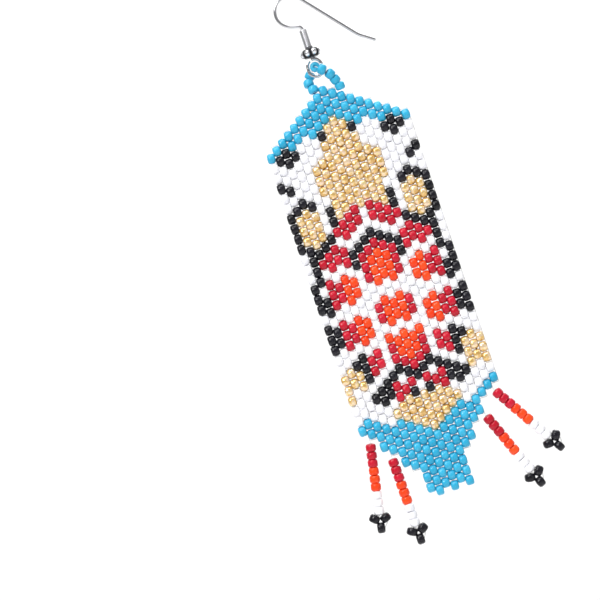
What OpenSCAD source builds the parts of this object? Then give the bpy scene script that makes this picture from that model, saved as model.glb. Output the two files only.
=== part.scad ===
// Bead-woven earring with a sea turtle motif, hanging from a French ear wire.
// Units are millimetres. +Z is up, the panel faces -Y, and +X is to its right.
// The origin is on the ear wire's straight back leg, where the arch ends.

/* [Beads] */
// Outside diameter of a seed bead
bead_d = 2.04; // [1.8:0.01:2.08]
// Length of a seed bead along its hole
bead_len = 1.33; // [1.2:0.01:1.4]
// Diameter of the hole
hole_d = 0.8; // [0.6:0.05:0.9]
// How far the rounded shoulder reaches in from each end
shoulder = 0.4; // [0.3:0.05:0.5]
// Thickness of the beading thread
thread_w = 0.13; // [0.1:0.01:0.15]

/* [Panel] */
// Distance between bead columns
col_pitch = 1.55; // [1.54:0.01:1.7]
// Distance between beads down a column
row_pitch = 2.1; // [2.1:0.01:2.3]
// Height of the loop's top bead above the panel's first bead
loop_h = 5; // [4.8:0.1:6]

/* [Ear wire] */
// Diameter of the ear wire
wire_d = 0.64; // [0.5:0.02:0.8]
// Radius of the arch that sits in the ear
arch_r = 3.1; // [2.5:0.1:4]
// Angle of the back leg below level
leg_angle = 50; // [35:1:60]
// Length of the straight back leg
leg_len = 13; // [10:0.5:15]
// Outside width of the eye
eye_w = 3.5; // [3.3:0.1:4]
// Outside height of the eye
eye_h = 4.2; // [4:0.1:5]
// Length of the coil on the shank
coil_len = 4; // [3:0.1:5]
// Outside diameter of the coil
coil_d = 1.64; // [1.5:0.02:1.8]
// Turns of wire in the coil
coil_turns = 10; // [8:1:12]
// Outside diameter of the daisy spacer
spacer_d = 4.4; // [4:0.1:5]
// Thickness of the daisy spacer
spacer_h = 1.7; // [1.4:0.1:2]
// Granules round the spacer
granules = 8; // [7:1:10]

/* [Fringes] */
// Distance between beads along a fringe
strand_pitch = 1.56; // [1.54:0.01:1.7]
// Distance of the picot's three beads from their centre
picot_r = 1.44; // [1.42:0.01:1.6]

/* [Hidden] */
$fn = 48;
turquoise = [0.29, 0.69, 0.88];
white = [0.96, 0.96, 0.97];
black = [0.1, 0.1, 0.12];
gold = [0.88, 0.72, 0.4];
red = [0.78, 0.1, 0.18];
orange = [0.98, 0.33, 0.12];
silver = [0.8, 0.8, 0.82];
old_silver = [0.5, 0.5, 0.52];
thread = [0.9, 0.9, 0.9];
eps = 0.01;

// Bead chart, one string for each column from left to right, read from the top down:
// T turquoise, W white, K black, G gold, R red, O orange
chart = [
    "TWWKWWKKKKWWWKKKWKKKWWGGGWWT", // -9
    "TKWWKWKGGGKKKKWKKWKKWWGGWWWTT", // -8
    "TKKWWWKGGGGKRWRRRWRRRWKGGWWWTTT", // -7
    "TTKWWWWKGGGKRRWRRWWRRWKKKWKWWTTT", // -6
    "TTWWWWWWWWWKRRWOOOWOOOWRRWKKWWTTTT", // -5
    "TTWWWGGGWKKRWRRWOOWWOOWRRWKKWGTTTTT", // -4
    "TTTWWGGGGGGRRWKKWWWWWWWWWWKRRGGTTTTTTT", // -3
    "TTTKGGGGGGGRRWKRRRWWRRWORRKWRGGGTTTTTTT", // -2
    "TTTGGGGGGGGRRWKROOOWOOOWOORKRKGGGTTTTTT", // -1
    "TTTGGGGGGGGGWWKROOOWWOOWOOORKWGGGGTTTTTT", // 0
    "TTTGGGGGGGGRRWKROOOWOOOWOORKRKGGGTTTTTT", // +1
    "TTTKGGGGGGGRRWKRRRWWRRWORRKWRGGGTTTTTTT", // +2
    "TTTWWGGGGGGRRWKKWWWWWWWWWWKRRGGTTTT", // +3
    "TTWWWGGGWKKRWRRWOOWWOOWRRWKKWGTTTT", // +4
    "TTWWWWWWWWWKRRWOOOWOOOWRRWKKWWTT", // +5
    "TTKWWWWKGGGKRRWRRWWRRWKKKWKWWTT", // +6
    "TKKWWWKGGGGKRWRRRWRRRWKGGGWWT", // +7
    "TKWWKWKGGGKKKKWKKWKKWWGGGWWT", // +8
    "TWWKWWKKKKWWWKKKWKKKWWGGGWT", // +9
];
// Each column starts half a bead lower than the column nearer the middle.
mid = 9;
// The last level of each of the first four bands of rows
band_last = [-1, 7.5, 15, 22.5, 30, 40];

function level(c, i) = abs(c - mid) / 2 + i;
function last_level(c) = level(c, len(chart[c]) - 1);
function in_band(h, b) = h > band_last[b - 1] && h <= band_last[b];
function col_x(c) = (c - mid) * col_pitch - leg_x;

// Ear wire, worked out from the coil's top on the shank and then moved to the origin
wire_r = wire_d / 2;
arch_x = -1.1;
arch_z = 4.1;
// Heading of the wire where it joins the arch, and how far the arch turns
lead_angle = 165;
arch_turn = lead_angle + leg_angle;
leg_x = arch_x + arch_r * sin(leg_angle);
leg_z = arch_z + arch_r * cos(leg_angle);
bend_r = 0.8;
kick_r = 6;
kick_turn = 15;
kick_len = 2.5;
gap = 0.08;
spacer_top = -coil_len - gap;
eye_top = spacer_top - spacer_h - gap;
eye_r = eye_w / 2 - wire_r;
eye_side = eye_h - eye_w;
eye_low_z = eye_top - eye_w / 2 - eye_side;
eye_high_z = eye_low_z + eye_side;
// The loop's top bead, inside the eye
top_bead_z = eye_low_z + 0.5;
panel_z = top_bead_z - loop_h;

function level_z(h) = panel_z - leg_z - h * row_pitch;

// Loop bead centres from the left foot to the right foot, from the top bead.
// The left side passes behind the eye and the right side in front of it.
loop_path = [
    [-2, 0.3, -loop_h - 0.7],
    [-1.75, 0.3, -loop_h + 0.92],
    [-2.2, 0.95, -2.65],
    [-1.45, 1.45, -1.2],
    [0, 0.9, 0],
    [0, 0, 0],
    [0, -0.9, 0],
    [1.05, -1.55, -1.05],
    [2.3, -1, -2.3],
    [2.95, -0.45, -3.62],
    [3.45, -0.1, -5.06],
    [3.35, 0, -6.6]
];
loop_seats = [1, 2, 3, 5, 7, 8, 9, 10];
function unit(v) = v / norm(v);
function loop_axis(i) = unit(loop_path[i + 1] - loop_path[i - 1]);
function loop_ends(i, reach) = [loop_path[i] - reach * loop_axis(i), loop_path[i] + reach * loop_axis(i)];

// Fringes: column gap they hang from, level of the bead above, splay to the right
fringe_gap = [-8.5, -6.5, 6.5, 8.5];
fringe_level = [32, 34, 33, 31];
fringe_splay = [-11, 1, 21, 31];
pivot_drop = bead_d / 2 + 0.3;
// Along the strand from the pivot: first bead, sideways bend, knee and picot centre
first_s = 0.5 + bead_len / 2;
bend_s = first_s + 2.5 * strand_pitch;
knee_s = first_s + 5.5 * strand_pitch;
picot_s = first_s + 8 * strand_pitch + bead_len / 2 + 1.55;

// One seed bead, its hole along Z
module bead() {
    r = bead_d / 2;
    h = bead_len / 2;
    rotate_extrude()
        polygon([
            [hole_d / 2, -h], [r - shoulder, -h], [r, shoulder - h],
            [r, h - shoulder], [r - shoulder, h], [hole_d / 2, h]
        ]);
}

// Turns a shape's Z axis to the direction d
module along(d) {
    rotate([0, acos(d[2]), atan2(d[1], d[0])]) children();
}

// Thread through the points of a path
module run(points) {
    for (i = [0 : len(points) - 2]) {
        span = points[i + 1] - points[i];
        translate(points[i]) along(unit(span)) cylinder(d = thread_w, h = norm(span));
        if (i > 0) translate(points[i]) sphere(d = thread_w + 0.05);
    }
}

// Beads of one colour in one band of the panel
module panel_beads(b, colour) {
    for (c = [0 : len(chart) - 1], i = [0 : len(chart[c]) - 1])
        if (chart[c][i] == colour && in_band(level(c, i), b))
            translate([col_x(c), 0, level_z(level(c, i))]) rotate([0, 90, 0]) bead();
}

// The thread goes across in passes. Pass p takes the new beads at level p / 2, and
// goes back through the older beads half a level higher.
function is_new(p, c) = (p + c - mid) % 2 == 0;
function pass_level(p, c) = is_new(p, c) ? p / 2 : (p - 1) / 2;
function on_pass(p, c) = pass_level(p, c) >= level(c, 0) && pass_level(p, c) <= last_level(c);
function pass_z(p, c) = level_z(pass_level(p, c)) + (is_new(p, c) ? 0.1 : -0.1);
function pass_dir(p) = p % 2 == 0 ? 1 : -1;
function pass_cols(p) = [for (j = [0 : 2 * mid]) let (c = pass_dir(p) > 0 ? j : 2 * mid - j) if (on_pass(p, c)) c];
function pass_points(p) = [for (c = pass_cols(p), s = [-1, 1])
    [col_x(c) + s * pass_dir(p) * col_pitch / 2, pass_z(p, c)]];
// Where the next pass starts on another column, the thread goes down or across outside the beads.
function turn_point(a, b) = abs(a[0]) < abs(b[0]) ? [b[0], a[1]] : [a[0], b[1]];
function passes(p, last) = p == last ? pass_points(p) :
    let (here = pass_points(p), next = pass_points(p + 1), a = here[len(here) - 1])
    concat(here, a[0] == next[0][0] ? [] : [turn_point(a, next[0])], passes(p + 1, last));

function first_pass(b) = max(0, floor(2 * band_last[b - 1]) + 2);
function end_pass(b) = min(78, floor(2 * band_last[b]) + 1);

// Moves each point of the zigzag sideways by d, at right angles to both runs that meet there
function side(a, b) = let (u = unit(b - a)) [-u[1], u[0]];
function shifted(pts, d) = let (n = len(pts)) [for (i = [0 : n - 1])
    let (s = side(pts[max(i - 1, 0)], pts[max(i, 1)]), t = side(pts[min(i, n - 2)], pts[min(i + 1, n - 1)]))
    pts[i] + (s == t ? s : s + t) * d];
function backwards(v) = [for (i = [len(v) - 1 : -1 : 0]) v[i]];

module panel_thread(b) {
    path = passes(first_pass(b), end_pass(b));
    w = thread_w / 2;
    translate([0, w, 0]) rotate([90, 0, 0]) linear_extrude(height = thread_w)
        polygon(concat(shifted(path, w), backwards(shifted(path, -w))));
    if (b == 5)
        for (f = [0 : 3])
            translate([gap_x(f) - w, -w, fringe_pivot(f)[2] + 0.05])
                cube([thread_w, thread_w, pivot_drop - 0.15]);
}

function gap_x(f) = fringe_gap[f] * col_pitch - leg_x;
function fringe_pivot(f) = [gap_x(f), 0, level_z(fringe_level[f]) - pivot_drop];

// Hangs a strand that is drawn down from z = 0
module hang(f) {
    translate(fringe_pivot(f)) rotate([0, -fringe_splay[f], 0]) children();
}

module strand_beads(section) {
    for (i = [3 * section : 3 * section + 2])
        translate([0, 0, -first_s - i * strand_pitch]) bead();
}

function lobe(i) = [cos(i * 120 + 30), 0, sin(i * 120 + 30)];
function lobe_axis(i) = [-sin(i * 120 + 30), 0, cos(i * 120 + 30)];

module picot_beads() {
    for (i = [0 : 2])
        translate([0, 0, -picot_s] + picot_r * lobe(i)) along(lobe_axis(i)) bead();
}

module top_thread() {
    translate([0, 0, 0.1 - bend_s]) cylinder(d = thread_w, h = bend_s - 0.16);
}

module mid_thread() {
    translate([0, 0, 0.1 - knee_s]) cylinder(d = thread_w, h = knee_s - bend_s - 0.2);
}

module low_thread() {
    reach = bead_len / 2 + 0.05;
    neck = [0, 0, -picot_s + 1.5];
    ring = [for (i = [2 : -1 : 0], s = [1, -1])
        [0, 0, -picot_s] + picot_r * lobe((i + 2) % 3) + (s * reach) * lobe_axis((i + 2) % 3)];
    translate([0, 0, neck[2]]) cylinder(d = thread_w, h = -knee_s - 0.1 - neck[2]);
    run(concat([neck], backwards(ring), [neck]));
    translate(neck) sphere(d = thread_w + 0.04);
}

// Moves a shape drawn from the coil's top to the part's origin
module on_shank() {
    translate([-leg_x, 0, -leg_z]) children();
}

// An arc of the wire in the XZ plane, from angle a0, anticlockwise seen from the front
module bow(x, z, r, a0, sweep) {
    translate([x, 0, z]) rotate([90, 0, 0]) rotate([0, 0, a0])
        rotate_extrude(angle = sweep) translate([r, 0]) circle(r = wire_r);
}

// A straight length, stopping just short of its ends, where a joint covers the step
module rod(a, b) {
    trim = 0.03;
    translate(a + trim * unit(b - a)) along(unit(b - a)) cylinder(r = wire_r, h = norm(b - a) - 2 * trim);
}

module joints(points) {
    for (p = points) translate(p) sphere(r = wire_r + 0.015);
}

module wire_shape() {
    // Small bend at the top of the shank, then the lead to the arch
    lead = [arch_x - arch_r * sin(lead_angle), 0, arch_z + arch_r * cos(lead_angle)];
    mid_angle = 90 - leg_angle + arch_turn / 2;
    arch_mid = [arch_x + arch_r * cos(mid_angle), 0, arch_z + arch_r * sin(mid_angle)];
    bend_x = -bend_r + bend_r * sin(lead_angle);
    bend_end = [bend_x, 0, lead[2] + (bend_x - lead[0]) * tan(lead_angle)];
    bend_z = bend_end[2] + bend_r * cos(lead_angle);
    leg_end = [leg_x + leg_len * cos(leg_angle), 0, leg_z - leg_len * sin(leg_angle)];
    kick = [leg_end[0] + kick_r * sin(leg_angle), 0, leg_end[2] + kick_r * cos(leg_angle)];
    tip_angle = leg_angle - kick_turn;
    tip = [kick[0] - kick_r * sin(tip_angle), 0, kick[2] - kick_r * cos(tip_angle)];
    on_shank() {
        rod([0, 0, eye_top - wire_r], [0, 0, bend_z]);
        bow(-bend_r, bend_z, bend_r, 0, lead_angle - 90);
        rod(bend_end, lead);
        for (s = [0, 1]) bow(arch_x, arch_z, arch_r, 90 - leg_angle + s * arch_turn / 2, arch_turn / 2);
        rod([leg_x, 0, leg_z], leg_end);
        bow(kick[0], kick[2], kick_r, 270 - leg_angle, kick_turn);
        rod(tip, tip + kick_len * [cos(tip_angle), 0, -sin(tip_angle)]);
        joints([arch_mid, bend_end, lead, [0, 0, bend_z], [leg_x, 0, leg_z], leg_end, tip,
            tip + kick_len * [cos(tip_angle), 0, -sin(tip_angle)], [0, 0, eye_high_z + eye_r]]);
        // Eye, with its end stopping short of the shank
        bow(0, eye_low_z, eye_r, 180, 180);
        bow(0, eye_high_z, eye_r, 0, 90);
        bow(0, eye_high_z, eye_r, 118, 62);
        for (s = [-1, 1]) {
            rod([s * eye_r, 0, eye_low_z], [s * eye_r, 0, eye_high_z]);
            joints([[s * eye_r, 0, eye_low_z], [s * eye_r, 0, eye_high_z]]);
        }
    }
}

module coil_shape() {
    pitch = coil_len / coil_turns;
    r_in = wire_r + 0.08;
    groove = 0.1;
    on_shank() rotate_extrude() polygon(concat(
        [[r_in, -coil_len], [r_in, 0]],
        [for (i = [0 : coil_turns - 1], s = [[0, groove], [0.25, 0.02], [0.5, 0], [0.75, 0.02]])
            [coil_d / 2 - s[1], -(i + s[0]) * pitch]],
        [[coil_d / 2 - groove, -coil_len]]));
}

module spacer_shape() {
    granule_d = 1.34;
    on_shank() translate([0, 0, spacer_top - spacer_h / 2]) difference() {
        union() {
            cylinder(r = spacer_d / 2 - granule_d * 0.62, h = spacer_h, center = true);
            for (i = [0 : granules - 1])
                rotate([0, 0, (i + 0.5) * 360 / granules])
                    translate([spacer_d / 2 - granule_d / 2, 0, 0]) sphere(d = granule_d);
        }
        cylinder(r = wire_r + 0.1, h = 2 * spacer_h, center = true);
    }
}

module loop_place() {
    on_shank() translate([0, 0, top_bead_z]) children();
}

module loop_bead_shapes() {
    loop_place() for (i = loop_seats) translate(loop_path[i]) along(loop_axis(i)) bead();
}

module loop_thread_shape() {
    loop_place() run([for (i = loop_seats, p = loop_ends(i, bead_len / 2 + 0.05)) p]);
}

// One module per sub-part
module panel1_turquoise() color(turquoise) panel_beads(1, "T");
module panel1_black() color(black) panel_beads(1, "K");
module panel1_white() color(white) panel_beads(1, "W");
module panel1_gold() color(gold) panel_beads(1, "G");
module panel1_thread() color(thread) panel_thread(1);
module panel2_gold() color(gold) panel_beads(2, "G");
module panel2_white() color(white) panel_beads(2, "W");
module panel2_red() color(red) panel_beads(2, "R");
module panel2_black() color(black) panel_beads(2, "K");
module panel2_thread() color(thread) panel_thread(2);
module panel3_red() color(red) panel_beads(3, "R");
module panel3_orange() color(orange) panel_beads(3, "O");
module panel3_white() color(white) panel_beads(3, "W");
module panel3_black() color(black) panel_beads(3, "K");
module panel3_thread() color(thread) panel_thread(3);
module panel4_white() color(white) panel_beads(4, "W");
module panel4_orange() color(orange) panel_beads(4, "O");
module panel4_red() color(red) panel_beads(4, "R");
module panel4_black() color(black) panel_beads(4, "K");
module panel4_gold() color(gold) panel_beads(4, "G");
module panel4_thread() color(thread) panel_thread(4);
module panel5_turquoise() color(turquoise) panel_beads(5, "T");
module panel5_gold() color(gold) panel_beads(5, "G");
module panel5_white() color(white) panel_beads(5, "W");
module panel5_thread() color(thread) panel_thread(5);
module ear_wire() color(silver) wire_shape();
module coil() color(silver) coil_shape();
module spacer() color(old_silver) spacer_shape();
module loop_beads() color(turquoise) loop_bead_shapes();
module loop_thread() color(thread) loop_thread_shape();
module fringe1_red() color(red) hang(0) strand_beads(0);
module fringe1_orange() color(orange) hang(0) strand_beads(1);
module fringe1_white() color(white) hang(0) strand_beads(2);
module fringe1_picot() color(black) hang(0) picot_beads();
module fringe1_thread_top() color(thread) hang(0) top_thread();
module fringe1_thread_mid() color(thread) hang(0) mid_thread();
module fringe1_thread_low() color(thread) hang(0) low_thread();
module fringe2_red() color(red) hang(1) strand_beads(0);
module fringe2_orange() color(orange) hang(1) strand_beads(1);
module fringe2_white() color(white) hang(1) strand_beads(2);
module fringe2_picot() color(black) hang(1) picot_beads();
module fringe2_thread_top() color(thread) hang(1) top_thread();
module fringe2_thread_mid() color(thread) hang(1) mid_thread();
module fringe2_thread_low() color(thread) hang(1) low_thread();
module fringe3_red() color(red) hang(2) strand_beads(0);
module fringe3_orange() color(orange) hang(2) strand_beads(1);
module fringe3_white() color(white) hang(2) strand_beads(2);
module fringe3_picot() color(black) hang(2) picot_beads();
module fringe3_thread_top() color(thread) hang(2) top_thread();
module fringe3_thread_mid() color(thread) hang(2) mid_thread();
module fringe3_thread_low() color(thread) hang(2) low_thread();
module fringe4_red() color(red) hang(3) strand_beads(0);
module fringe4_orange() color(orange) hang(3) strand_beads(1);
module fringe4_white() color(white) hang(3) strand_beads(2);
module fringe4_picot() color(black) hang(3) picot_beads();
module fringe4_thread_top() color(thread) hang(3) top_thread();
module fringe4_thread_mid() color(thread) hang(3) mid_thread();
module fringe4_thread_low() color(thread) hang(3) low_thread();

/* [Hidden] */

panel1_turquoise();
panel1_black();
panel1_white();
panel1_gold();
panel1_thread();
panel2_gold();
panel2_white();
panel2_red();
panel2_black();
panel2_thread();
panel3_red();
panel3_orange();
panel3_white();
panel3_black();
panel3_thread();
panel4_white();
panel4_orange();
panel4_red();
panel4_black();
panel4_gold();
panel4_thread();
panel5_turquoise();
panel5_gold();
panel5_white();
panel5_thread();
ear_wire();
coil();
spacer();
loop_beads();
loop_thread();
fringe1_red();
fringe1_orange();
fringe1_white();
fringe1_picot();
fringe1_thread_top();
fringe1_thread_mid();
fringe1_thread_low();
fringe2_red();
fringe2_orange();
fringe2_white();
fringe2_picot();
fringe2_thread_top();
fringe2_thread_mid();
fringe2_thread_low();
fringe3_red();
fringe3_orange();
fringe3_white();
fringe3_picot();
fringe3_thread_top();
fringe3_thread_mid();
fringe3_thread_low();
fringe4_red();
fringe4_orange();
fringe4_white();
fringe4_picot();
fringe4_thread_top();
fringe4_thread_mid();
fringe4_thread_low();
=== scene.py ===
# %% [markdown]
# A bead-woven earring: a flat panel of round glass seed beads in peyote stitch, with a sea turtle
# worked in colour, four short fringes, a bead loop and a French ear wire. This lesson dresses the
# CAD model, called the frame. The frame keeps every piece at its real place and size, so each
# bead made here is set exactly where its plain CAD bead is.

import math
import random

import bmesh
import bpy
from mathutils import Matrix, Vector


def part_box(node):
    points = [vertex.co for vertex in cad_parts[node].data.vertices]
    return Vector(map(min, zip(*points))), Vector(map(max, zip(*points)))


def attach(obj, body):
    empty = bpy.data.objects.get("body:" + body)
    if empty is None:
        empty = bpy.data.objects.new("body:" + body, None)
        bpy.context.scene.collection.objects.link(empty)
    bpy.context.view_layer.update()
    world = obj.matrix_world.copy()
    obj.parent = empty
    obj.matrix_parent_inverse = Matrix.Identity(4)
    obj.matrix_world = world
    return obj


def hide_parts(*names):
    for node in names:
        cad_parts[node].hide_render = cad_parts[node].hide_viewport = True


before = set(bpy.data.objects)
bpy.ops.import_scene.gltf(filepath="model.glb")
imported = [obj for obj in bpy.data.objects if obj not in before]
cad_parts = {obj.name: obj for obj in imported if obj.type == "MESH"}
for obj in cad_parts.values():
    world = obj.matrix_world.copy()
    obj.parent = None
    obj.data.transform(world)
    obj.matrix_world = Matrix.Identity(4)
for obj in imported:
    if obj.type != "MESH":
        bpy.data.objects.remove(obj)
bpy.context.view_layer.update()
MM = 0.001
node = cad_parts


def deselect_all():
    bpy.ops.object.select_all(action="DESELECT")


deselect_all()

# %% [markdown]
# The earring is seen straight from the front and tilted, its top leaning to the left, as when it
# is laid down casually. A long lens keeps the rows of beads parallel. The camera is turned
# instead of the earring, because the frame never moves.

# %% Camera
LENS = 100.0
SENSOR = 36.0
TILT = math.radians(18.5)
VIEW_WIDTH = 118.32 * MM  # what the camera takes in, at the earring
AIM_LEFT = 17.5508 * MM  # how far the aim lies from the panel's middle
AIM_BELOW = 2.3664 * MM
panel_foot = Vector(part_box("panel5_turquoise")[0])
panel_roof = Vector(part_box("panel1_turquoise")[1])
band_left, band_right = (Vector(corner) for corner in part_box("panel3_white"))
panel_middle = Vector(
    ((band_left.x + band_right.x) / 2, 0.0, (panel_foot.z + panel_roof.z) / 2)
)
cam_right = Vector((math.cos(TILT), 0, -math.sin(TILT)))
cam_up = Vector((math.sin(TILT), 0, math.cos(TILT)))
aim = panel_middle - cam_right * AIM_LEFT - cam_up * AIM_BELOW
distance = VIEW_WIDTH * LENS / SENSOR

bpy.ops.object.camera_add()
camera = bpy.context.object
camera.name = "camera"
camera.data.lens = LENS
camera.data.sensor_width = SENSOR
camera.data.clip_start = 0.01
turn = Matrix((cam_right, cam_up, Vector((0, -1, 0)))).transposed().to_4x4()
camera.matrix_world = Matrix.Translation(aim + Vector((0, -distance, 0))) @ turn
bpy.context.scene.camera = camera
print("camera distance in mm:", round(distance / MM))

# %% [markdown]
# Glass beads are small mirrors: what they show is the light. Large soft area lights give each
# bead one broad highlight on its upper side and leave no hard shadow. The floor and the wall
# are pale and plain, and stand well away from the earring. A lamp of its own keeps the wall white.

# %% Floor, wall and light
scene = bpy.context.scene
scene.view_settings.view_transform = "Standard"
FLOOR_Z = -0.32
WALL_Y = 0.75
SHEET_SIZE = 8
WORLD_STRENGTH = 0.28


def pale_sheet(name, size, location, rotation):
    bpy.ops.mesh.primitive_plane_add(size=size, location=location, rotation=rotation)
    sheet = bpy.context.object
    sheet.name = name
    return sheet


floor = pale_sheet("floor", SHEET_SIZE, (0, 0, FLOOR_Z), (0, 0, 0))
wall = pale_sheet("wall", SHEET_SIZE, (0, WALL_Y, 0), (math.radians(90), 0, 0))


def softbox(name, place, target, size, power):
    bpy.ops.object.light_add(type="AREA", location=place)
    lamp = bpy.context.object
    lamp.name = name
    lamp.data.size = size
    lamp.data.energy = power
    aim_at = Vector(target) - Vector(place)
    lamp.rotation_euler = aim_at.to_track_quat("-Z", "Y").to_euler()


middle = tuple(panel_middle)
wall_spot = (0.0, WALL_Y, -0.05)
for lamp_name, place, target, size, power in (
    ("key_light", (-0.35, -0.55, 0.45), middle, 0.28, 4.4),
    ("fill_light", (0.6, -0.5, 0.1), middle, 0.6, 0.5),
    ("back_light", (0.3, 0.6, 0.35), middle, 0.5, 2.0),
    ("wall_light", (0.0, -0.3, 1.3), wall_spot, 1.0, 16.0),
):
    softbox(lamp_name, place, target, size, power)
world = bpy.data.worlds.new("pale_room")
scene.world = world
world.use_nodes = True
background = world.node_tree.nodes["Background"]
background.inputs["Color"].default_value = (1.0, 1.0, 1.0, 1.0)
background.inputs["Strength"].default_value = WORLD_STRENGTH

# %% [markdown]
# Materials are written as sums. The class below holds one socket of a shader node, and its
# operators add a Math node each, so that a formula reads as one. One method makes any other node.

# %% A socket that does sums
class Socket:
    def __init__(self, tree, socket):
        self.tree = tree
        self.socket = socket

    def node(self, kind, settings=None, output=0, **inputs):
        made = self.tree.nodes.new(kind)
        for key, value in (settings or {}).items():
            if key == "stops":
                ramp = made.color_ramp
                while len(ramp.elements) < len(value):
                    ramp.elements.new(0.5)
                for element, (place, colour) in zip(ramp.elements, value):
                    element.position = place
                    element.color = colour
            else:
                setattr(made, key, value)
        for key, value in inputs.items():
            name = key.replace("_", " ")
            target = made.inputs[int(key[1:])] if key[1:].isdigit() else made.inputs[name]
            if isinstance(value, Socket):
                self.tree.links.new(value.socket, target)
            else:
                target.default_value = value
        return Socket(self.tree, made.outputs[output])

    def math(self, operation, a, b):
        return self.node("ShaderNodeMath", {"operation": operation}, _0=a, _1=b)

    def __add__(self, other):
        return self.math("ADD", self, other)

    def __radd__(self, other):
        return self.math("ADD", other, self)

    def __sub__(self, other):
        return self.math("SUBTRACT", self, other)

    def __rsub__(self, other):
        return self.math("SUBTRACT", other, self)

    def __mul__(self, other):
        return self.math("MULTIPLY", self, other)

    def __rmul__(self, other):
        return self.math("MULTIPLY", other, self)


def new_material(name):
    material = bpy.data.materials.new(name)
    material.use_nodes = True
    tree = material.node_tree
    surface = tree.nodes["Principled BSDF"]
    place = Socket(tree, tree.nodes.new("ShaderNodeTexCoord").outputs["Object"])
    return material, surface, place


def feed(surface, name, value):
    if isinstance(value, Socket):
        value.tree.links.new(value.socket, surface.inputs[name])
    else:
        surface.inputs[name].default_value = value


def rgba(r, g, b):
    return (r, g, b, 1.0)


def blend_colour(place, factor, a, b):
    return place.node("ShaderNodeMix", {"data_type": "RGBA"}, output=2, _0=factor, _6=a, _7=b)


print("shader sums ready")

# %% [markdown]
# Floor and wall: matt pale card, with a trace of unevenness.

# %% Card
card, card_surface, card_place = new_material("pale_card")
card_grain = card_place.node("ShaderNodeTexNoise", Scale=3.0, Detail=2.0)
feed(card_surface, "Base Color", blend_colour(
    card_place, card_grain, rgba(0.93, 0.93, 0.93), rgba(0.96, 0.96, 0.96)))
feed(card_surface, "Roughness", 0.9)
for sheet in (floor, wall):
    sheet.data.materials.append(card)
print("card on", floor.name, "and", wall.name)

# %% [markdown]
# Seed beads of opaque glass are one colour right through, but no two are quite alike. Each bead
# carries its own number from 0 to 1 in an attribute called tone, which shifts its colour a
# little. A fine wave in the glass breaks up the highlight, and a coat gives the fire-polished
# gloss. Gold beads are different: honey glass with a lustre coat. The coat's sheen is painted into
# their colour as fixed pink, green and pale patches, a painted highlight and painted reflection.

# %% Glass
def glass_material(name, dark, light, gloss, coat):
    material, surface, place = new_material(name)
    tone = place.node("ShaderNodeAttribute", {"attribute_name": "tone"}, output=2)
    cloud = place.node("ShaderNodeTexNoise", Vector=place, Scale=900.0, Detail=2.0)
    feed(surface, "Base Color", blend_colour(place, tone * 0.7 + cloud * 0.3, dark, light))
    feed(surface, "Roughness", cloud * 0.12 + gloss)
    feed(surface, "Coat Weight", coat)
    surface.inputs["Coat Roughness"].default_value = 0.08
    surface.inputs["Specular IOR Level"].default_value = 0.25
    wave = place.node("ShaderNodeTexNoise", Vector=place, Scale=1600.0, Detail=1.0)
    bump = place.node("ShaderNodeBump", Height=wave, Strength=0.12, Distance=0.00005)
    feed(surface, "Normal", bump)
    return material


# For each colour: the dark and the light end of its glass, its roughness and its coat
GLASS_COLOURS = {
    "turquoise": (rgba(0.015, 0.35, 0.58), rgba(0.05, 0.47, 0.72), 0.25, 0.3),
    "white": (rgba(0.88, 0.88, 0.93), rgba(0.96, 0.96, 0.98), 0.25, 0.3),
    "black": (rgba(0.004, 0.004, 0.006), rgba(0.012, 0.011, 0.018), 0.22, 0.12),
    "red": (rgba(0.44, 0.004, 0.018), rgba(0.62, 0.010, 0.035), 0.28, 0.15),
    "orange": (rgba(0.85, 0.04, 0.005), rgba(0.97, 0.085, 0.012), 0.28, 0.15),
}
glass = {
    colour: glass_material(colour + "_glass", *look) for colour, look in GLASS_COLOURS.items()
}


def lustre_material():
    material, surface, place = new_material("gold_lustre_glass")
    tone = place.node("ShaderNodeAttribute", {"attribute_name": "tone"}, output=2)
    cloud = place.node("ShaderNodeTexNoise", Vector=place, Scale=700.0, Detail=2.0)
    lustre_sheen_noise = place.node("ShaderNodeTexNoise", Vector=place, Scale=950.0, Detail=1.0)
    # Painted sheen: the dark amber and gold stops are the glass; the pale, pink and green stops
    # are painted highlights of the lustre coat, in fixed patches
    painted_lustre_sheen = lustre_sheen_noise.node(
        "ShaderNodeValToRGB",
        {"stops": [
            (0.34, rgba(0.55, 0.30, 0.05)),
            (0.46, rgba(0.82, 0.54, 0.16)),
            (0.54, rgba(1.0, 0.90, 0.66)),
            (0.60, rgba(1.0, 0.74, 0.70)),
            (0.70, rgba(0.86, 0.84, 0.40)),
        ]},
        Fac=lustre_sheen_noise,
    )
    body = blend_colour(
        place, tone * 0.6 + cloud * 0.3, rgba(0.66, 0.38, 0.11), rgba(0.86, 0.60, 0.26))
    # The painted lustre sheen is mixed into the glass colour here
    feed(surface, "Base Color", blend_colour(place, 0.55, body, painted_lustre_sheen))
    feed(surface, "Roughness", cloud * 0.15 + 0.12)
    feed(surface, "Metallic", tone * 0.15 + 0.3)
    feed(surface, "Coat Weight", 1.0)
    surface.inputs["Coat Roughness"].default_value = 0.05
    return material


glass["gold"] = lustre_material()
print("glass:", sorted(glass))

# %% [markdown]
# The metal is silver: the wire and coil are bright and drawn smooth, with faint lines along
# them. The cast spacer is oxidised, which leaves its grooves black and its high spots polished.
# The finish follows an attribute called height, stored on each vertex when the spacer is made:
# high on the outside of a granule and low in a groove.

# %% Metal and thread
def silver_material(name, bright, dark):
    material, surface, place = new_material(name)
    scratch = place.node("ShaderNodeTexNoise", Vector=place, Scale=2500.0, Detail=3.0)
    feed(surface, "Base Color", blend_colour(place, scratch, dark, bright))
    feed(surface, "Metallic", 1.0)
    feed(surface, "Roughness", scratch * 0.16 + 0.12)
    return material


silver = silver_material("bright_silver", rgba(0.66, 0.66, 0.68), rgba(0.50, 0.50, 0.53))


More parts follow.
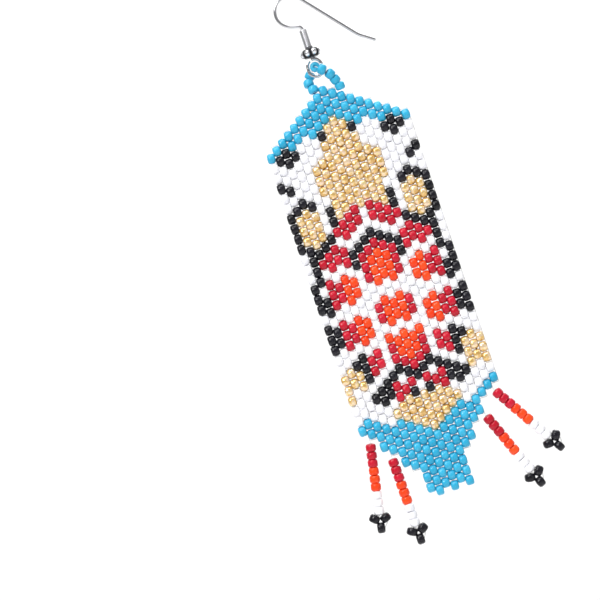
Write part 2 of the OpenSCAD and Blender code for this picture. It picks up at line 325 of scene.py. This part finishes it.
def oxidised_material():
    material, surface, place = new_material("oxidised_silver")
    height = place.node("ShaderNodeAttribute", {"attribute_name": "height"}, output=2)
    stain = place.node("ShaderNodeTexNoise", Vector=place, Scale=1500.0, Detail=3.0)
    clean = place.node(
        "ShaderNodeMapRange", Value=height + stain * 0.25, From_Min=0.75, From_Max=1.15)
    feed(surface, "Base Color", blend_colour(
        place, clean, rgba(0.012, 0.012, 0.014), rgba(0.82, 0.82, 0.85)))
    feed(surface, "Metallic", clean * 0.6 + 0.4)
    feed(surface, "Roughness", 0.6 - clean * 0.42)
    return material


oxidised = oxidised_material()


def thread_material():
    material, surface, place = new_material("nylon_thread")
    twist = place.node("ShaderNodeTexWave", Vector=place, Scale=1800.0, Distortion=1.5)
    feed(surface, "Base Color", blend_colour(
        place, twist, rgba(0.60, 0.60, 0.59), rgba(0.78, 0.78, 0.77)))
    feed(surface, "Roughness", 0.7)
    bump = place.node("ShaderNodeBump", Height=twist, Strength=0.3, Distance=0.00003)
    feed(surface, "Normal", bump)
    return material


nylon = thread_material()
print("metal and thread ready")

# %% [markdown]
# A seed bead is a short slice of drawn glass tube, tumbled hot until its edges flow round. So it
# is made as a short cylinder whose rims are bevelled broadly, and whose ends are inset and pushed
# in for the hole. Hundreds of copies are needed, so it has only ten sides and smooth shading.

# %% One bead
BEAD_R = 1.04 * MM
BEAD_HALF = 0.80 * MM
BEAD_SIDES = 10
RIM_ROUND = 0.42 * MM
HOLE_DEPTH = 0.28 * MM


def select_faces(mesh_obj, chosen):
    edit = bmesh.from_edit_mesh(mesh_obj.data)
    for face in edit.faces:
        face.select_set(chosen(face))
    bmesh.update_edit_mesh(mesh_obj.data)


def select_edges(mesh_obj, chosen):
    edit = bmesh.from_edit_mesh(mesh_obj.data)
    for edge in edit.edges:
        edge.select_set(chosen(edge))
    bmesh.update_edit_mesh(mesh_obj.data)


def is_cap(face):
    return abs(face.normal.z) > 0.99


def is_rim(edge):
    return is_cap(edge.link_faces[0]) != is_cap(edge.link_faces[1])


bpy.ops.mesh.primitive_cylinder_add(vertices=BEAD_SIDES, radius=BEAD_R, depth=2 * BEAD_HALF)
bead = bpy.context.object
bead.name = "bead_pattern"
bpy.ops.object.mode_set(mode="EDIT")
bpy.ops.mesh.select_mode(type="EDGE")
select_edges(bead, is_rim)
bpy.ops.mesh.bevel(offset=RIM_ROUND, segments=2, profile=0.5)
bpy.ops.mesh.select_mode(type="FACE")
for drop, margin in ((0.0, 0.18 * MM), (HOLE_DEPTH, 0.04 * MM)):
    select_faces(bead, lambda face: is_cap(face) and len(face.verts) == BEAD_SIDES)
    bpy.ops.mesh.inset(thickness=margin, depth=-drop)
bpy.ops.object.mode_set(mode="OBJECT")
bpy.ops.object.shade_smooth()
bead_verts = [v.co.copy() for v in bead.data.vertices]
bead_faces = [tuple(p.vertices) for p in bead.data.polygons]
bpy.data.objects.remove(bead)
print("bead faces:", len(bead_faces))

# %% [markdown]
# The frame says where each bead is. A CAD node such as panel3_red is many separate plain beads,
# so its mesh is split into loose islands. An island's middle is the bead's place, and the two
# flat ends, which hold more area in one direction than any other, give the way its hole points.

# %% Find the beads in a CAD node
WELD = 1e-7


def islands(obj):
    mesh = bmesh.new()
    mesh.from_mesh(obj.data)
    mesh.transform(obj.matrix_world)
    bmesh.ops.remove_doubles(mesh, verts=mesh.verts, dist=WELD)
    mesh.faces.ensure_lookup_table()
    seen = set()
    found = []
    for start in mesh.faces:
        if start.index in seen:
            continue
        seen.add(start.index)
        stack, group = [start], []
        while stack:
            face = stack.pop()
            group.append(face)
            for edge in face.edges:
                for other in edge.link_faces:
                    if other.index not in seen:
                        seen.add(other.index)
                        stack.append(other)
        corners = {v for f in group for v in f.verts}
        low = Vector([min(v.co[i] for v in corners) for i in range(3)])
        high = Vector([max(v.co[i] for v in corners) for i in range(3)])
        area = {}
        for f in group:
            way = f.normal if tuple(f.normal) > (0, 0, 0) else -f.normal
            key = tuple(round(c, 2) for c in way)
            area.setdefault(key, [0.0, way.copy()])[0] += f.calc_area()
        axis = max(area.values(), key=lambda item: item[0])[1]
        found.append(((low + high) / 2, axis.normalized()))
    mesh.free()
    found.sort(key=lambda item: tuple(round(c, 6) for c in item[0]))
    return found


print("beads in panel3_red:", len(islands(node["panel3_red"])))

# %% [markdown]
# A woven bead never sits quite true. Each copy gets a little tilt, a little more or less size,
# and its own tone, all from one seeded generator, so every run makes the same earring. Beads in
# the roof of the panel are held by fewer threads and lean more. The three beads of a picot are
# drawn tight towards their middle.

# %% String the beads
dice = random.Random(19)


def random_vector():
    return Vector([dice.uniform(-1, 1) for _ in range(3)])


def string_beads(cad_name, lean_deg, slack_mm, gather=0.0, plump=1.0):
    spots = islands(node[cad_name])
    hub = sum((centre for centre, axis in spots), Vector()) / len(spots)
    verts, faces, tones = [], [], []
    for centre, axis in spots:
        sway = random_vector() * math.tan(math.radians(lean_deg))
        facing = (axis + sway).to_track_quat("Z", "Y").to_matrix()
        spin = Matrix.Rotation(dice.uniform(0, math.tau), 3, "Z")
        wide = dice.uniform(0.985, 1.03) * plump
        long = dice.uniform(0.95, 1.02)
        shift = random_vector() * slack_mm * MM
        tone = dice.random()
        base = len(verts)
        for co in bead_verts:
            local = Vector((co.x * wide, co.y * wide, co.z * long))
            verts.append(centre.lerp(hub, gather) + shift + facing @ (spin @ local))
            tones.append(tone)
        faces.extend(tuple(base + i for i in face) for face in bead_faces)
    mesh = bpy.data.meshes.new(cad_name + "_beads")
    mesh.from_pydata(verts, [], faces)
    mesh.attributes.new("tone", "FLOAT", "POINT").data.foreach_set("value", tones)
    obj = bpy.data.objects.new(cad_name + "_beads", mesh)
    bpy.context.collection.objects.link(obj)
    deselect_all()
    obj.select_set(True)
    bpy.context.view_layer.objects.active = obj
    bpy.ops.object.shade_smooth()
    return obj


def finish_piece(obj, material, slot_name, body_name, *nodes):
    obj.data.materials.clear()
    obj.data.materials.append(material)
    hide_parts(*nodes)
    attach(obj, body_name)


strung = {
    "turquoise": "turquoise", "white": "white", "black": "black",
    "gold": "gold", "red": "red", "orange": "orange", "picot": "black",
}
total = 0
for name in sorted(node):
    part = name.split("_")[-1]
    if name == "loop_beads":
        part = "turquoise"
    if part not in strung:
        continue
    colour = strung[part]
    if name.startswith("panel"):
        band = name[5]
        lean, slack = (7.0, 0.03) if name == "panel1_turquoise" else (3.5, 0.02)
        body_name = "panel_" + band
    elif name.startswith("fringe"):
        lean, slack = 4.0, 0.02
        section = {"red": "upper", "orange": "middle"}.get(part, "lower")
        body_name = f"fringe_{name[6]}_{section}"
    else:
        lean, slack, body_name = 4.0, 0.0, "loop"
    if part == "picot":
        beads = string_beads(name, 2.0, 0.0, gather=0.13, plump=1.04)
    else:
        beads = string_beads(name, lean, slack)
    finish_piece(beads, glass[colour], colour + "_bead", body_name, name)
    total += len(beads.data.vertices) // len(bead_verts)
print("beads strung:", total)

# %% [markdown]
# The coil is a fine wire wound tight round the shank. A small circle is swept up a helix by the
# Screw modifier, one step of height to each turn, which gives real windings instead of rings.

# %% Coil
coil_low, coil_high = (Vector(c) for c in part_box("coil"))
coil_middle = (coil_low + coil_high) / 2
coil_r = (coil_high.x - coil_low.x) / 2
TURNS = 10
STEPS_PER_TURN = 20
coil_step = (coil_high.z - coil_low.z) / (TURNS + 1)
strand_r = coil_step * 0.49
bpy.ops.mesh.primitive_circle_add(
    vertices=8,
    radius=strand_r,
    location=(coil_r - strand_r, 0, 0),
    rotation=(math.radians(90), 0, 0),
)
coil = bpy.context.object
coil.name = "wound_coil"
bpy.ops.object.transform_apply(location=True, rotation=True, scale=True)
screw = coil.modifiers.new("winding", "SCREW")
screw.angle = math.tau * TURNS
screw.screw_offset = coil_step * TURNS
screw.iterations = 1
screw.steps = STEPS_PER_TURN * TURNS
screw.render_steps = STEPS_PER_TURN * TURNS
screw.use_merge_vertices = False
bpy.ops.object.modifier_apply(modifier=screw.name)
bpy.ops.object.mode_set(mode="EDIT")
bpy.ops.mesh.select_mode(type="EDGE")
bpy.ops.mesh.select_all(action="SELECT")
bpy.ops.mesh.remove_doubles(threshold=WELD)
bpy.ops.mesh.select_all(action="DESELECT")
bpy.ops.mesh.select_non_manifold()
bpy.ops.mesh.edge_face_add()
bpy.ops.mesh.select_all(action="SELECT")
bpy.ops.mesh.normals_make_consistent(inside=False)
bpy.ops.transform.translate(value=(coil_middle.x, coil_middle.y, coil_low.z + coil_step / 2))
bpy.ops.object.mode_set(mode="OBJECT")
bpy.ops.object.shade_smooth()
finish_piece(coil, silver, "silver_wire", "coil", "coil")
print("coil faces:", len(coil.data.polygons))

# %% [markdown]
# A daisy spacer is cast as a ring of round granules. Each granule here is a sphere, and the
# eight stand round a short core with rounded rims and a sunk middle. Every vertex records how
# high it stands, which the oxidised finish reads.

# %% Spacer
GRANULES = 8
spacer_low, spacer_high = (Vector(c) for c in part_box("spacer"))
spacer_middle = (spacer_low + spacer_high) / 2
spacer_h = spacer_high.z - spacer_low.z
GRANULE_R = 0.67 * MM
RING_R = 2.2 * MM - GRANULE_R
CORE_R = 1.45 * MM
# The raised ring on each face of the core, which stays half polished
LIP_INSIDE, LIP_OUTSIDE = 0.75 * MM, 1.3 * MM


def record_height(obj, heights):
    obj.data.attributes.new("height", "FLOAT", "POINT").data.foreach_set("value", heights)


spacer_parts = []
for i in range(GRANULES):
    around = (i + 0.5) * math.tau / GRANULES
    out = Vector((math.cos(around), math.sin(around), 0))
    sideways = Vector((-out.y, out.x, 0))
    centre = spacer_middle + out * RING_R
    deselect_all()
    bpy.ops.mesh.primitive_uv_sphere_add(
        segments=20, ring_count=12, radius=GRANULE_R, location=centre)
    granule = bpy.context.object
    bpy.ops.object.transform_apply(location=True, rotation=True, scale=True)
    heights = []
    for vertex in granule.data.vertices:
        reach = (vertex.co - centre) / GRANULE_R
        heights.append(
            0.5 + 0.75 * reach.dot(out) - 0.4 * abs(reach.dot(sideways)) + 0.25 * abs(reach.z))
    record_height(granule, heights)
    spacer_parts.append(granule)
deselect_all()
bpy.ops.mesh.primitive_cylinder_add(
    vertices=32, radius=CORE_R, depth=spacer_h, location=spacer_middle)
core = bpy.context.object
bpy.ops.object.transform_apply(location=True, rotation=True, scale=True)
bpy.ops.object.mode_set(mode="EDIT")
bpy.ops.mesh.select_mode(type="FACE")
select_faces(core, is_cap)
bpy.ops.mesh.inset(thickness=0.25 * MM, depth=0.0)
bpy.ops.mesh.inset(thickness=0.40 * MM, depth=-0.05 * MM)
bpy.ops.mesh.inset(thickness=0.30 * MM, depth=-0.5 * MM)
bpy.ops.mesh.select_mode(type="EDGE")



def is_core_rim(edge):
    start, end = (vertex.co - spacer_middle for vertex in edge.verts)
    return abs(start.to_2d().length - CORE_R) < 1e-6 and abs(start.z - end.z) < 1e-7


def core_height(vertex):
    place = vertex.co - spacer_middle
    on_face = abs(place.z) > 0.8 * spacer_h / 2
    return 0.75 if on_face and LIP_INSIDE < place.to_2d().length < LIP_OUTSIDE else 0.05


select_edges(core, is_core_rim)
bpy.ops.mesh.bevel(offset=0.18 * MM, segments=2, profile=0.5)
bpy.ops.object.mode_set(mode="OBJECT")
record_height(core, [core_height(vertex) for vertex in core.data.vertices])
spacer_parts.append(core)
deselect_all()
for piece in spacer_parts:
    piece.select_set(True)
bpy.context.view_layer.objects.active = core
bpy.ops.object.join()
spacer = bpy.context.object
spacer.name = "daisy_spacer"
bpy.ops.object.shade_smooth_by_angle(angle=math.radians(50))
finish_piece(spacer, oxidised, "oxidised_silver", "spacer", "spacer")
print("spacer faces:", len(spacer.data.polygons))

# %% [markdown]
# The ear wire and the thread are already the right shape in the CAD model: round wire bent on
# true arcs, and thread that zigzags through the beads. They keep their CAD meshes and get
# their finishes.

# %% Finish what stays as CAD
kept_nodes = {name: nylon for name in node if "thread" in name}
kept_nodes["ear_wire"] = silver
for name, material in kept_nodes.items():
    node[name].data.materials.clear()
    node[name].data.materials.append(material)
print("CAD nodes finished:", len(kept_nodes))

# %% [markdown]
# Last, the script prints that it has finished.

# %% End
print("finished")
